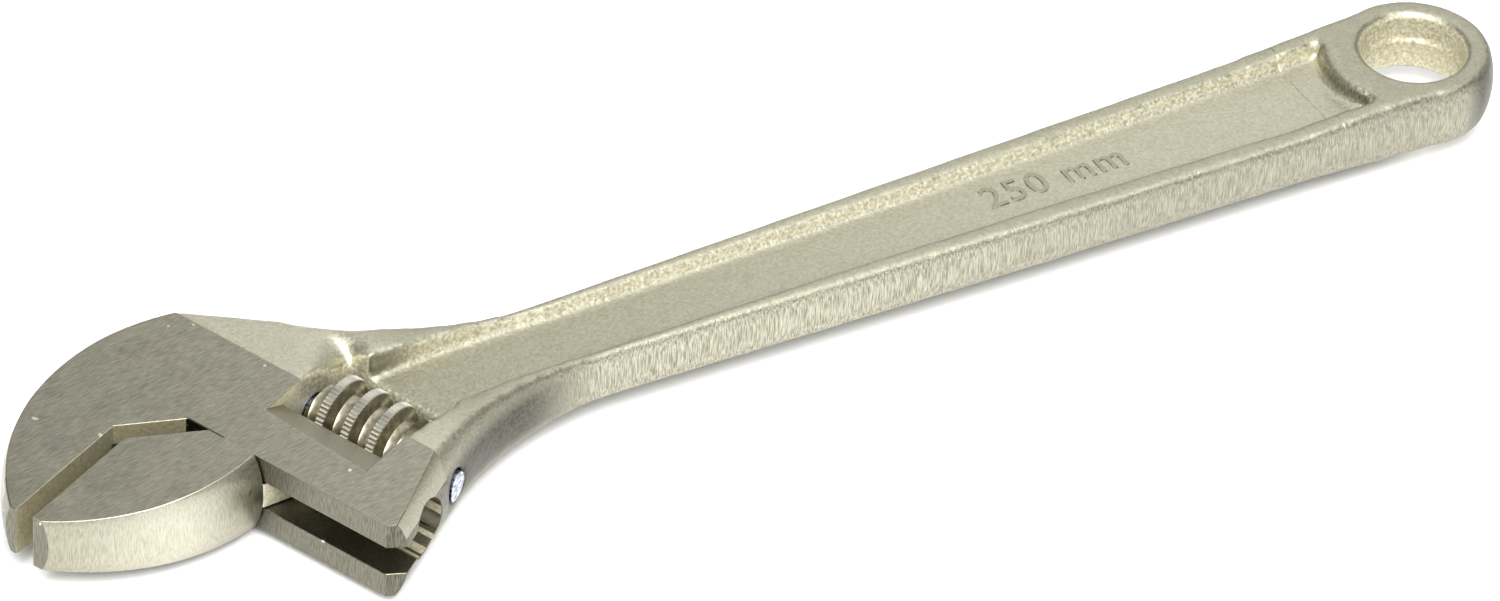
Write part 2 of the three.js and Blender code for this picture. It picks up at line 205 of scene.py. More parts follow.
def bumpFrom(tree, height, strength, distance, under=None):
    node = addNode(tree, "ShaderNodeBump")
    node.inputs["Distance"].default_value = distance
    if isinstance(strength, float):
        node.inputs["Strength"].default_value = strength
    else:
        tree.links.new(strength, node.inputs["Strength"])
    tree.links.new(height, node.inputs["Height"])
    if under is not None:
        tree.links.new(under, node.inputs["Normal"])
    return node.outputs["Normal"]


def readAttribute(tree, name):
    return addNode(tree, "ShaderNodeAttribute", attribute_name=name).outputs["Fac"]


# satin forging: an orange-peel skin, brighter die walls, and belt-ground outer sides with strokes across the
# handle; a dimmed and a lit copy of the skin are mixed as painted light, and painted shade darkens the neck's near
# side, the round end behind the hole and the handle towards its hole
forgedLook = {"dimmed": ((0.25, 0.24, 0.178), (0.33, 0.32, 0.245)),
              "light": ((0.4, 0.382, 0.292), (0.52, 0.5, 0.396)),
              "wall": ((0.4, 0.37, 0.25), (0.72, 0.69, 0.53)),
              "belt": ((0.2, 0.19, 0.14), (0.5, 0.485, 0.385)),
              "shaded": ((0.045, 0.043, 0.034), (0.12, 0.116, 0.095)),
              "skinRough": (0.36, 0.52), "beltRough": (0.26, 0.4), "wallMetallic": 0.6,
              "peel": 1900, "peelDepth": 0.13 * mm, "wave": 420, "waveDepth": 0.22 * mm,
              "stroke": 5000, "strokeLength": 0.07, "strokeDepth": 0.16 * mm,
              "panelStep": (94.5 * mm, 94.8 * mm), "stepDepth": 0.12 * mm}


def forgedMaterial():
    made, tree, shader = newMaterial("forgedSteel", forgedLook["dimmed"][0], 0.42)
    flat = objectMapping(tree)
    peel = noiseAt(tree, flat, forgedLook["peel"], 3, 0.6)
    wave = noiseAt(tree, flat, forgedLook["wave"], 2)
    drawn = objectMapping(tree, scale=(1, 1, forgedLook["strokeLength"]))
    strokes = noiseAt(tree, drawn, forgedLook["stroke"], 3, 0.65)
    belt = readAttribute(tree, "belt")
    wall = readAttribute(tree, "wall")
    scale = readAttribute(tree, "scale")
    paintedLight = readAttribute(tree, "paintedLight")
    speckle = rangeOf(tree, peel, 0.34, 0.66)
    dimmed = blendOf(tree, speckle, *forgedLook["dimmed"])
    light = blendOf(tree, speckle, *forgedLook["light"])
    walls = blendOf(tree, speckle, *forgedLook["wall"])
    # painted light: the skin is mixed between a dimmed and a lit copy
    colour = blendOf(tree, wall, blendOf(tree, paintedLight, dimmed, light), walls)
    ground = blendOf(tree, rangeOf(tree, strokes, 0.38, 0.62), *forgedLook["belt"])
    colour = blendOf(tree, belt, colour, ground)
    # painted shade: the scale attribute blends in the shaded colours
    colour = blendOf(tree, scale, colour, blendOf(tree, speckle, *forgedLook["shaded"]))
    tree.links.new(colour, shader.inputs["Base Color"])
    skinRough = rangeOf(tree, peel, 0.3, 0.7, *forgedLook["skinRough"])
    beltRough = rangeOf(tree, strokes, 0.3, 0.7, *forgedLook["beltRough"])
    tree.links.new(blendOf(tree, belt, skinRough, beltRough, "FLOAT"), shader.inputs["Roughness"])
    tree.links.new(rangeOf(tree, wall, 0, 1, 1, forgedLook["wallMetallic"]), shader.inputs["Metallic"])
    parts = addNode(tree, "ShaderNodeSeparateXYZ")
    tree.links.new(flat, parts.inputs["Vector"])
    panelStep = rangeOf(tree, parts.outputs["X"], *forgedLook["panelStep"])
    stepped = bumpFrom(tree, panelStep, 1.0, forgedLook["stepDepth"])
    waved = bumpFrom(tree, wave, 0.5, forgedLook["waveDepth"], stepped)
    peeled = bumpFrom(tree, peel, 0.55, forgedLook["peelDepth"], waved)
    drawnStrength = rangeOf(tree, belt, 0, 1, 0, 0.9)
    stroked = bumpFrom(tree, strokes, drawnStrength, forgedLook["strokeDepth"], peeled)
    tree.links.new(stroked, shader.inputs["Normal"])
    return made


# thin dark line on the head where the back of the moving jaw rubs, a painted shadow of the jaw's edge; its
# distances are from the throat, and the along axis of the turned coordinates runs against the rail
bladeShadow = {"colour": (0.012, 0.012, 0.01), "strength": 0.95, "before": 0.1 * mm, "full": 0.12 * mm,
       "faded": 0.42 * mm, "start": (6.8 * mm, 8.0 * mm), "end": (14.2 * mm, 14.8 * mm)}


def bladeShadowLine(tree):
    place = addNode(tree, "ShaderNodeSeparateXYZ")
    tree.links.new(objectMapping(tree, turn=(0, 0, -headTurn)), place.inputs["Vector"])
    depth = throat.dot(depthWay)
    along = -throat.dot(rail)
    across = place.outputs["X"]
    down = place.outputs["Y"]
    near = rangeOf(tree, across, depth + bladeShadow["full"], depth + bladeShadow["faded"], bladeShadow["strength"], 0)
    beyond = rangeOf(tree, across, depth - bladeShadow["before"], depth)
    start = rangeOf(tree, down, along - bladeShadow["start"][1], along - bladeShadow["start"][0], 1, 0)
    end = rangeOf(tree, down, along - bladeShadow["end"][1], along - bladeShadow["end"][0])
    within = blendOf(tree, beyond, 0.0, blendOf(tree, start, 0.0, near, "FLOAT"), "FLOAT")
    return blendOf(tree, end, 0.0, within, "FLOAT")


# flat faces ground along the jaws: fine straight scratches and a few bright nicks
scratchLook = {"fine": 5200, "fineDepth": 0.04 * mm, "broad": 260, "roughness": (0.3, 0.4),
             "nicks": 620, "nicksFrom": (0.845, 0.86), "nicksStrength": 0.8, "nickColour": (0.8, 0.78, 0.66)}


def groundMaterial(name, darkest, lightest, turn, stretch, oily=False):
    made, tree, shader = newMaterial(name, darkest, 0.34)
    along = objectMapping(tree, turn=(0, 0, turn), scale=stretch)
    fine = noiseAt(tree, along, scratchLook["fine"], 3, 0.6)
    broad = noiseAt(tree, objectMapping(tree), scratchLook["broad"], 3)
    nicks = noiseAt(tree, objectMapping(tree), scratchLook["nicks"], 0)
    colour = blendOf(tree, rangeOf(tree, fine, 0.36, 0.64), darkest, lightest)
    nicked = rangeOf(tree, nicks, *scratchLook["nicksFrom"], 0, scratchLook["nicksStrength"])
    colour = blendOf(tree, nicked, colour, scratchLook["nickColour"])
    # painted shadow line along the back edge of the moving jaw
    if oily:
        colour = blendOf(tree, bladeShadowLine(tree), colour, bladeShadow["colour"])
    tree.links.new(colour, shader.inputs["Base Color"])
    tree.links.new(rangeOf(tree, broad, 0.3, 0.7, *scratchLook["roughness"]), shader.inputs["Roughness"])
    tree.links.new(bumpFrom(tree, fine, 0.3, scratchLook["fineDepth"]), shader.inputs["Normal"])
    return made


# crowned back of the moving jaw, belt-ground finer than the handle, with a painted highlight at mid length;
# its distances are measured from the throat towards the tips
backLook = {"plain": ((0.22, 0.207, 0.15), (0.38, 0.365, 0.285)),
            "paintedHighlight": ((0.4, 0.385, 0.3), (0.56, 0.54, 0.45)),
            "rise": (30 * mm, 17 * mm), "fall": (14 * mm, 3 * mm), "roughness": (0.28, 0.44),
            "stroke": 4600, "strokeLength": 0.09, "strokeDepth": 0.06 * mm,
            "cloud": 120, "cloudStrength": 0.2}


def jawBeltMaterial():
    made, tree, shader = newMaterial("jawBelt", (0.8, 0.77, 0.62), 0.36)
    across = objectMapping(tree, turn=(0, 0, -headTurn), scale=(1, 1, backLook["strokeLength"]))
    fine = noiseAt(tree, across, backLook["stroke"], 3, 0.6)
    broad = noiseAt(tree, objectMapping(tree), backLook["cloud"], 2)
    plain = blendOf(tree, rangeOf(tree, fine, 0.32, 0.68), *backLook["plain"])
    bright = blendOf(tree, rangeOf(tree, fine, 0.32, 0.68), *backLook["paintedHighlight"])
    place = addNode(tree, "ShaderNodeSeparateXYZ")
    tree.links.new(objectMapping(tree, turn=(0, 0, -headTurn)), place.inputs["Vector"])
    fromThroat = throat.dot(depthWay)
    # painted highlight: lighter colours rise and fall along the jaw's middle
    rise = rangeOf(tree, place.outputs["X"], *[fromThroat - reach for reach in backLook["rise"]])
    fall = rangeOf(tree, place.outputs["X"], *[fromThroat - reach for reach in backLook["fall"]], 1, 0)
    paintedHighlight = blendOf(tree, fall, 0.0, rise, "FLOAT")
    cloud = rangeOf(tree, broad, 0.3, 0.7, 0, backLook["cloudStrength"])
    colour = blendOf(tree, cloud, blendOf(tree, paintedHighlight, plain, bright), plain)
    tree.links.new(colour, shader.inputs["Base Color"])
    tree.links.new(rangeOf(tree, fine, 0.3, 0.7, *backLook["roughness"]), shader.inputs["Roughness"])
    tree.links.new(bumpFrom(tree, fine, 0.4, backLook["strokeDepth"]), shader.inputs["Normal"])
    return made


# milled walls of the slot and window, and the gripping faces: warmer and duller than the ground faces
milledLook = {"grain": 1900, "grainDepth": 0.1 * mm, "roughness": 0.4, "metallic": 0.5}


def milledMaterial(name, darkest, lightest):
    made, tree, shader = newMaterial(name, darkest, milledLook["roughness"], milledLook["metallic"])
    grain = noiseAt(tree, objectMapping(tree), milledLook["grain"], 3)
    colour = blendOf(tree, rangeOf(tree, grain, 0.3, 0.7), darkest, lightest)
    tree.links.new(colour, shader.inputs["Base Color"])
    tree.links.new(bumpFrom(tree, grain, 0.35, milledLook["grainDepth"]), shader.inputs["Normal"])
    return made


# the grooves' colours are painted darker than the crests, as shade in the thread's hollows
wormLook = {"crest": (0.64, 0.62, 0.53), "crestGrain": 1600, "crestRoughness": (0.14, 0.28),
            "crestDepth": 0.04 * mm, "groove": ((0.22, 0.2, 0.14), (0.4, 0.37, 0.285)), "grooveGrain": 900}


def wormMaterials():
    crest, tree, shader = newMaterial("wormCrest", wormLook["crest"], 0.2)
    grain = noiseAt(tree, objectMapping(tree), wormLook["crestGrain"], 2)
    tree.links.new(rangeOf(tree, grain, 0.3, 0.7, *wormLook["crestRoughness"]), shader.inputs["Roughness"])
    tree.links.new(bumpFrom(tree, grain, 0.15, wormLook["crestDepth"]), shader.inputs["Normal"])
    groove, tree, shader = newMaterial("wormGroove", wormLook["groove"][1], 0.3)
    grain = noiseAt(tree, objectMapping(tree), wormLook["grooveGrain"], 3)
    colour = blendOf(tree, rangeOf(tree, grain, 0.35, 0.7), *wormLook["groove"])
    tree.links.new(colour, shader.inputs["Base Color"])
    return crest, groove


# bare steel end of the pin, bluish, with coarse turning marks
bareLook = {"colours": ((0.12, 0.14, 0.22), (0.62, 0.66, 0.76)), "grain": 1100, "depth": 0.12 * mm}


def bareEndMaterial():
    made, tree, shader = newMaterial("bareEnd", (0.42, 0.45, 0.52), 0.3)
    grain = noiseAt(tree, objectMapping(tree, scale=(1, 1, 3)), bareLook["grain"], 3)
    colour = blendOf(tree, rangeOf(tree, grain, 0.42, 0.58), *bareLook["colours"])
    tree.links.new(colour, shader.inputs["Base Color"])
    tree.links.new(bumpFrom(tree, grain, 0.6, bareLook["depth"]), shader.inputs["Normal"])
    return made


wireLook = {"colour": (0.3, 0.29, 0.27), "grain": 2000, "roughness": (0.24, 0.4)}


def springMaterial():
    made, tree, shader = newMaterial("springWire", wireLook["colour"], 0.3)
    grain = noiseAt(tree, objectMapping(tree), wireLook["grain"], 2)
    tree.links.new(rangeOf(tree, grain, 0.3, 0.7, *wireLook["roughness"]), shader.inputs["Roughness"])
    return made


alongJaws = (radians(-6), (0.1, 1, 1))  # the way of the scratches, and how they are drawn out
upEdges = (-headTurn, (1, 1, 0.12))
# the edge and end colours are painted darker than the faces as shade on the side faces, and the gripping colours
# darker than the milled ones as shade
finishesAndPaintedShade = {"face": ((0.235, 0.226, 0.175), (0.36, 0.347, 0.278)),
            "edge": ((0.11, 0.105, 0.08), (0.205, 0.197, 0.154)),
            "end": ((0.07, 0.067, 0.05), (0.17, 0.163, 0.125)),
            "gapShadowed": ((0.01, 0.01, 0.008), (0.03, 0.028, 0.02)),
            "milled": ((0.48, 0.445, 0.31), (0.72, 0.68, 0.51)),
            "gripping": ((0.26, 0.235, 0.145), (0.39, 0.36, 0.24))}
forged = forgedMaterial()
ground = groundMaterial("groundHead", *finishesAndPaintedShade["face"], *alongJaws, oily=True)
bladeGround = groundMaterial("groundBlade", *finishesAndPaintedShade["face"], *alongJaws)
edgeGround = groundMaterial("groundEdge", *finishesAndPaintedShade["edge"], *upEdges)
endGround = groundMaterial("groundEnd", *finishesAndPaintedShade["end"], *upEdges)
# painted shadow in the gap between the head's lips and the moving jaw
gapShadow = groundMaterial("gapShadow", *finishesAndPaintedShade["gapShadowed"], -headTurn, (1, 1, 0.2))
jawBelt = jawBeltMaterial()
milled = milledMaterial("milledWall", *finishesAndPaintedShade["milled"])
gripping = milledMaterial("grippingFace", *finishesAndPaintedShade["gripping"])
print("materials made")


# The body is made as two pieces that meet along the ridge: the soft forging and the crisp ground head.
# This cuts a piece at a depth from the throat and keeps either the handle's side or the jaws' side.
def cutAcross(piece, depth, keepHandle):
    makeActive(piece)
    bpy.ops.object.mode_set(mode="EDIT")
    bpy.ops.mesh.select_all(action="SELECT")
    bpy.ops.mesh.bisect(plane_co=throat + depthWay * depth, plane_no=depthWay, use_fill=True,
                        clear_inner=keepHandle, clear_outer=not keepHandle)
    bpy.ops.object.mode_set(mode="OBJECT")


def applyNew(piece, name, kind, **values):
    made = piece.modifiers.new(name, kind)
    for key, value in values.items():
        setattr(made, key, value)
    makeActive(piece)
    bpy.ops.object.modifier_apply(modifier=name)


# rises smoothly from 0 at low to 1 at high
def steps(value, low, high):
    share = min(max((value - low) / (high - low), 0), 1)
    return share * share * (3 - 2 * share)


def holeDistance(spot):
    return hypot(spot.x - hole["centre"].x, spot.y - hole["centre"].y)


def inWindow(spot, room=head["windowRoom"]):
    depth, along = inHead(spot)[:2]
    inDepth = head["windowNear"] - room < depth < head["windowFar"] + room
    return inDepth and head["windowStart"] - room < along < head["windowEnd"] + room


# an even skin is softened by smoothing, less at the window and the hole, and the neck's hollow
# then flows into the handle's panel
forgedShape = {"voxel": 0.42 * mm, "spare": 3 * mm, "firstRounds": 3, "softRounds": 26,
               "windowRoom": 1.2 * mm, "windowHold": 0.25, "hollowStop": -0.5 * mm,
               "mouthHold": 0.15, "mouthCrisp": (0.4 * mm, 1.6 * mm), "smooth": 50,
               "hollowRounds": 120, "hollowReach": 8.5 * mm, "hollowDepth": 28 * mm,
               "hollowAlong": 11.5 * mm}


def makeForging():
    piece = copyOfNode("body", "forged_handle")
    cutAcross(piece, head["ridge"] - forgedShape["spare"], True)
    applyNew(piece, "evenSkin", "REMESH", mode="VOXEL", voxel_size=forgedShape["voxel"])
    applyNew(piece, "takeSteps", "SMOOTH", factor=0.5, iterations=forgedShape["firstRounds"])
    soft = piece.vertex_groups.new(name="soft")
    crispTo, softFrom = [hole["mouth"] + extra for extra in forgedShape["mouthCrisp"]]
    for vertex in piece.data.vertices:
        fromHole = max(steps(holeDistance(vertex.co), crispTo, softFrom), forgedShape["mouthHold"])
        hold = forgedShape["windowHold"] if inWindow(vertex.co, forgedShape["windowRoom"]) else 1
        soft.add([vertex.index], fromHole * hold, "REPLACE")
    applyNew(piece, "softEdges", "SMOOTH", factor=0.5, iterations=forgedShape["softRounds"],
             vertex_group="soft")
    hollow = piece.vertex_groups.new(name="hollow")
    for vertex in piece.data.vertices:
        depth, along = inHead(vertex.co)[:2]
        away = hypot(depth - forgedShape["hollowDepth"], along - forgedShape["hollowAlong"])
        share = 1 - steps(away, forgedShape["hollowReach"] / 2, forgedShape["hollowReach"])
        if share > 0 and not inWindow(vertex.co, forgedShape["hollowStop"]):
            hollow.add([vertex.index], share, "REPLACE")
    applyNew(piece, "hollowFlow", "SMOOTH", factor=0.5, iterations=forgedShape["hollowRounds"],
             vertex_group="hollow")
    piece.vertex_groups.clear()
    cutAcross(piece, head["ridge"], True)
    makeActive(piece)
    bpy.ops.object.shade_smooth_by_angle(angle=radians(forgedShape["smooth"]))
    return piece


# where the finishes and the painted light and shade lie: heights from the middle plane, and places along the
# handle from the origin
finishAndPaintedLight = {"upright": (0.5, 0.8), "wall": (-64 * mm, -56 * mm), "right": 0.22, "rightPlace": (0, 70 * mm),
        "neck": (-50 * mm, -32 * mm), "neckHeight": (2 * mm, 5.5 * mm), "neckEdge": 0.6,
        "tail": 0.95, "tailTurn": 0.5, "floor": 0.25, "floorGain": 0.35, "floorPlace": (-60 * mm, 80 * mm),
        "rim": (3.8 * mm, 4.6 * mm), "rimGain": 0.65, "rimAtNeck": (-68 * mm, -56 * mm),
        "rimLoss": 0.45, "rimLossPlace": (0, 60 * mm)}


def markForging(piece):
    values = {name: [] for name in ("belt", "wall", "scale", "paintedLight")}
    for vertex in piece.data.vertices:
        spot = vertex.co
        normal = vertex.normal
        height = abs(inHead(spot)[2])
        upright = 1 - steps(abs(normal.z), *finishAndPaintedLight["upright"])
        across = spot.y - hole["centre"].y
        beyond = spot.x > hole["centre"].x
        closeBy = inWindow(spot) or holeDistance(spot) < hole["mouth"] + hole["rim"]
        outward = (spot - hole["centre"]).to_2d().dot(normal.to_2d()) if beyond else across * normal.y
        inside = closeBy or outward < 0
        # painted shade on the neck's near side, on the round end behind the hole and along the handle towards its
        # hole
        neck = 1 - steps(spot.x, *finishAndPaintedLight["neck"]) if across < 0 else 0
        neck *= 1 - finishAndPaintedLight["neckEdge"] * steps(height, *finishAndPaintedLight["neckHeight"])
        tail = finishAndPaintedLight["tail"] * steps(normal.x, 0.0, finishAndPaintedLight["tailTurn"]) if beyond and not inside else 0
        right = finishAndPaintedLight["right"] * steps(spot.x, *finishAndPaintedLight["rightPlace"])  # painted shade, darker towards the hole
        paintedShade = max(neck, tail, right)
        raised = steps(height, *finishAndPaintedLight["rim"])
        # painted light: the panel brightens towards the hole, and the rims are lit near the neck and dimmed
        # towards the hole
        paintedLight = finishAndPaintedLight["floor"] + finishAndPaintedLight["floorGain"] * steps(spot.x, *finishAndPaintedLight["floorPlace"])
        paintedLight += finishAndPaintedLight["rimGain"] * raised * (1 - steps(spot.x, *finishAndPaintedLight["rimAtNeck"]))
        paintedLight -= finishAndPaintedLight["rimLoss"] * raised * steps(spot.x, *finishAndPaintedLight["rimLossPlace"])
        walled = 1 if closeBy else steps(spot.x, *finishAndPaintedLight["wall"])
        values["belt"].append(0 if inside else upright * (1 - paintedShade))
        values["wall"].append(upright * walled if inside else 0)
        values["paintedLight"].append(paintedLight)
        values["scale"].append(0 if inside else upright * paintedShade)
    for name in values:
        piece.data.attributes.new(name, "FLOAT", "POINT")
        piece.data.attributes[name].data.foreach_set("value", values[name])


handle = makeForging()
markForging(handle)
handle.data.materials.append(forged)
print("forged handle made", len(handle.data.polygons))

headShape = {"crispWidth": 0.15 * mm, "crispSegments": 2, "crispTo": 2 * mm, "sharp": 28, "smooth": 38,
             "groundHeight": 4.6 * mm, "gapShadowTo": 14.0 * mm, "windowBefore": 7 * mm, "outerSide": -5 * mm,
             "gripTo": 12 * mm, "slotFrom": 0.6 * mm}
headMaterials = {"ground": ground, "milled": milled, "edge": edgeGround, "end": endGround, "oily": gapShadow,
                 "chamfer": jawBelt, "gripping": gripping}


def selectFaces(piece, wanted):
    makeActive(piece)
    bpy.ops.object.mode_set(mode="EDIT")
    bpy.ops.mesh.select_mode(type="FACE")
    bpy.ops.mesh.select_all(action="DESELECT")
    bpy.ops.object.mode_set(mode="OBJECT")
    for face in piece.data.polygons:
        face.select = wanted(face.center, face.normal)
    bpy.ops.object.mode_set(mode="EDIT")


def onLipFront(spot, normal):
    return abs(inHead(spot)[0]) < 0.3 * mm and normal.dot(depthWay) < -0.5


def headFinish(spot, normal):
    depth, along, height = inHead(spot)
    flat = abs(normal.z)
    facing = normal.dot(rail)
    besideWindow = depth > head["windowNear"] - headShape["windowBefore"] and along > head["windowStart"]
    if inWindow(spot) or besideWindow and 0.2 < flat < 0.97:
        return "chamfer" if flat > 0.2 else "milled"
    if flat > 0.8 and abs(height) > headShape["groundHeight"]:
        return "ground"
    # the lips' front faces next to the moving jaw get the painted gap shadow
    if onLipFront(spot, normal) and 0 < along < headShape["gapShadowTo"]:
        return "oily"
    if along < headShape["outerSide"]:
        return "ground"
    if facing > 0.6 and along < headShape["gripTo"]:
        return "gripping"
    if abs(height) < headShape["groundHeight"] and depth > headShape["slotFrom"] and facing < 0.3:
        return "milled"
    # remaining side faces are ground with upright scratches and painted darker as shade
    return "end" if facing > 0.3 and depth > 0 else "edge"


def crispOnHead(spot, angle):
    return angle > radians(headShape["sharp"]) and inHead(spot)[0] < head["ridge"] + headShape["crispTo"]


groundHead = copyOfNode("body", "ground_head")
bevelEdges(groundHead, crispOnHead, headShape["crispWidth"], headShape["crispSegments"])
cutAcross(groundHead, head["ridge"], False)
selectFaces(groundHead, onLipFront)
bpy.ops.mesh.bisect(plane_co=throat + rail * headShape["gapShadowTo"], plane_no=rail)  # the painted gap shadow's edge
bpy.ops.object.mode_set(mode="OBJECT")
smoothShade(groundHead, headShape["smooth"])
paintFaces(groundHead, headMaterials, headFinish)
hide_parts("body")
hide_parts("body")
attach(handle, "handle")
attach(groundHead, "handle")
print("ground head made", len(groundHead.data.polygons))

# size mark raised on both panels
sizeMark = {"text": "250 mm", "size": 7.0 * mm, "spacing": 1.1, "centre": (49.6 * mm, 0.3 * mm),
            "rise": 0.15 * mm, "sunk": 0.3 * mm, "edge": 0.04 * mm}


def makeSizeMark():
    above = Vector((*sizeMark["centre"], 40 * mm))
    place = handle.ray_cast(above, Vector((0, 0, -1)))[1]  # the panel's surface under the mark
    deselectAll()
    bpy.ops.object.text_add(location=(0, 0, 0))
    piece = bpy.context.object
    piece.name = "size_mark"
    piece.data.body = sizeMark["text"]
    piece.data.size = sizeMark["size"]
    piece.data.align_x = "CENTER"
    piece.data.align_y = "CENTER"
    piece.data.extrude = sizeMark["sunk"]
    piece.data.bevel_depth = sizeMark["edge"]
    piece.data.resolution_u = 6
    piece.data.space_character = sizeMark["spacing"]
    bpy.ops.object.convert(target="MESH")
    piece.location = place + Vector((0, 0, sizeMark["rise"] - sizeMark["sunk"] - sizeMark["edge"]))
    bpy.ops.object.transform_apply(location=True, rotation=True, scale=True)
    makeActive(piece)
    bpy.ops.object.mode_set(mode="EDIT")
    bpy.ops.mesh.select_all(action="SELECT")
    bpy.ops.mesh.remove_doubles(threshold=0.001 * mm)
    bpy.ops.mesh.duplicate()  # turned over for the other panel, so that it reads from below
    bpy.ops.transform.mirror(orient_type="GLOBAL", constraint_axis=(False, False, True),
                             center_override=(0, 0, middle))
    bpy.ops.transform.mirror(orient_type="GLOBAL", constraint_axis=(False, True, False),
                             center_override=(0, sizeMark["centre"][1], middle))
    bpy.ops.mesh.select_all(action="SELECT")
    bpy.ops.mesh.normals_make_consistent(inside=False)
    bpy.ops.object.mode_set(mode="OBJECT")
    return piece


mark = makeSizeMark()
mark.data.materials.append(forged)
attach(mark, "handle")
print("size mark made", len(mark.data.polygons))

# moving jaw
jawShape = {"crispWidth": 0.12 * mm, "crispSegments": 2, "bladeEnd": -0.5 * mm, "sharp": 28, "smooth": 38,
            "tip": 0.1 * mm}
jawMaterials = {"ground": bladeGround, "back": jawBelt, "milled": milled, "tip": edgeGround}


def crispOnJaw(spot, angle):
    return angle > radians(jawShape["sharp"]) and inHead(spot)[0] < jawShape["bladeEnd"]


jaw = copyOfNode("moving_jaw", "jaw_blade")
bevelEdges(jaw, crispOnJaw, jawShape["crispWidth"], jawShape["crispSegments"])
smoothShade(jaw, jawShape["smooth"])
tipDepth = min(inHead(vertex.co)[0] for vertex in jaw.data.vertices)


def jawFinish(spot, normal):
    depth = inHead(spot)[0]
    if abs(normal.z) > 0.9:
        return "ground"
    if normal.dot(rail) < -0.5 or depth > jawShape["bladeEnd"]:
        return "milled"
    # the tip's end face takes the darker edge colours, as painted shade
    return "tip" if depth < tipDepth + jawShape["tip"] and normal.dot(depthWay) < -0.98 else "back"


paintFaces(jaw, jawMaterials, jawFinish)
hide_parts("moving_jaw")
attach(jaw, "jaw")
print("moving jaw made")

# worm: one turn of the thread's profile, screwed along the axis
worm = {"radius": 7.4 * mm, "root": 5.3 * mm, "pitch": 4.7 * mm, "crest": 1.35 * mm, "groove": 1.7 * mm,
        "rounding": 0.22 * mm, "start": 17.5 * mm, "end": 33.1 * mm, "depth": 19.7 * mm,
        "crestAtRack": 21.5 * mm, "turns": 7, "teeth": 66, "toothDepth": 0.24 * mm, "toothBand": 0.3 * mm,
        "bevel": 1.5 * mm, "blankRoom": 0.1 * mm, "pinHole": 2.6 * mm, "hub": 4.8 * mm, "hubEnd": 34.6 * mm,
        "hubBevel": 0.5 * mm, "brightFrom": 1.1 * mm, "brightEnd": 0.2 * mm, "smooth": 32}


# the steps of one turn's outline, as (outward, along): up a flank, over the crest and down again
def profileMoves():
    flank = (worm["pitch"] - worm["crest"] - worm["groove"]) / 2
    rise = worm["radius"] - worm["root"]
    soft = worm["rounding"]
    flankIn = flank - 0.1 * mm
    up = [(0, worm["groove"] / 2 - soft), (soft * 0.4, soft),
          (rise - soft * 1.2, flankIn), (soft * 0.8, soft * 0.6)]
    halfCrest = worm["pitch"] / 2 - sum(along for across, along in up)
    down = [(-across, along) for across, along in reversed(up)]
    return up + [(0, halfCrest), (0, halfCrest)] + down


def makeWorm():
    deselectAll()
    bpy.ops.mesh.primitive_plane_add(size=worm["root"])
    piece = bpy.context.object
    piece.name = "worm_body"
    bpy.ops.object.mode_set(mode="EDIT")
    bpy.ops.mesh.select_mode(type="VERT")
    bpy.ops.mesh.select_all(action="SELECT")
    bpy.ops.mesh.merge(type="CENTER")
    bpy.ops.transform.translate(value=(worm["root"], 0, 0))
    for across, along in profileMoves():
        bpy.ops.mesh.extrude_region_move(TRANSFORM_OT_translate={"value": (across, 0, along)})
    bpy.ops.mesh.select_all(action="SELECT")
    bpy.ops.transform.translate(value=(0, 0, -2 * worm["pitch"]))
    bpy.ops.object.mode_set(mode="OBJECT")
    applyNew(piece, "thread", "SCREW", axis="Z", angle=2 * pi, screw_offset=worm["pitch"],
             iterations=worm["turns"], steps=worm["teeth"] * 2, render_steps=worm["teeth"] * 2)
    makeActive(piece)
    bpy.ops.object.mode_set(mode="EDIT")
    bpy.ops.mesh.select_all(action="SELECT")
    bpy.ops.mesh.remove_doubles(threshold=doubles)
    bpy.ops.object.mode_set(mode="OBJECT")
    for vertex in piece.data.vertices:
        reach = hypot(vertex.co.x, vertex.co.y)
        if reach > worm["radius"] - worm["toothBand"]:
            wave = 0.5 - 0.5 * cos(worm["teeth"] * atan2(vertex.co.y, vertex.co.x))
            cut = 1 - wave * worm["toothDepth"] / reach
            vertex.co.x *= cut
            vertex.co.y *= cut
    return piece


# draws one open end of the thread together to a point far past the blank
def closeEnd(piece, way):
    bpy.ops.object.mode_set(mode="EDIT")
    bpy.ops.mesh.select_all(action="DESELECT")
    bpy.ops.mesh.select_mode(type="VERT")
    bpy.ops.mesh.select_non_manifold(use_wire=False, use_boundary=True, use_multi_face=False,
                                     use_non_contiguous=False, use_verts=False)
    bpy.ops.object.mode_set(mode="OBJECT")
    halfway = (worm["end"] - worm["start"]) / 2
    for vertex in piece.data.vertices:
        vertex.select = vertex.select and (vertex.co.z - halfway) * way > 0
    for edge in piece.data.edges:
        edge.select = edge.select and all(piece.data.vertices[v].select for v in edge.vertices)
    bpy.ops.object.mode_set(mode="EDIT")
    bpy.ops.mesh.extrude_region_move(TRANSFORM_OT_translate={"value": (0, 0, way * 3 * worm["pitch"])})
    bpy.ops.mesh.merge(type="CENTER")
    bpy.ops.object.mode_set(mode="OBJECT")


def turnedBlank(sides, radius, low, high):
    deselectAll()
    bpy.ops.mesh.primitive_cylinder_add(vertices=sides, radius=radius, depth=high - low,
                                        location=(0, 0, (low + high) / 2))
    return bpy.context.object


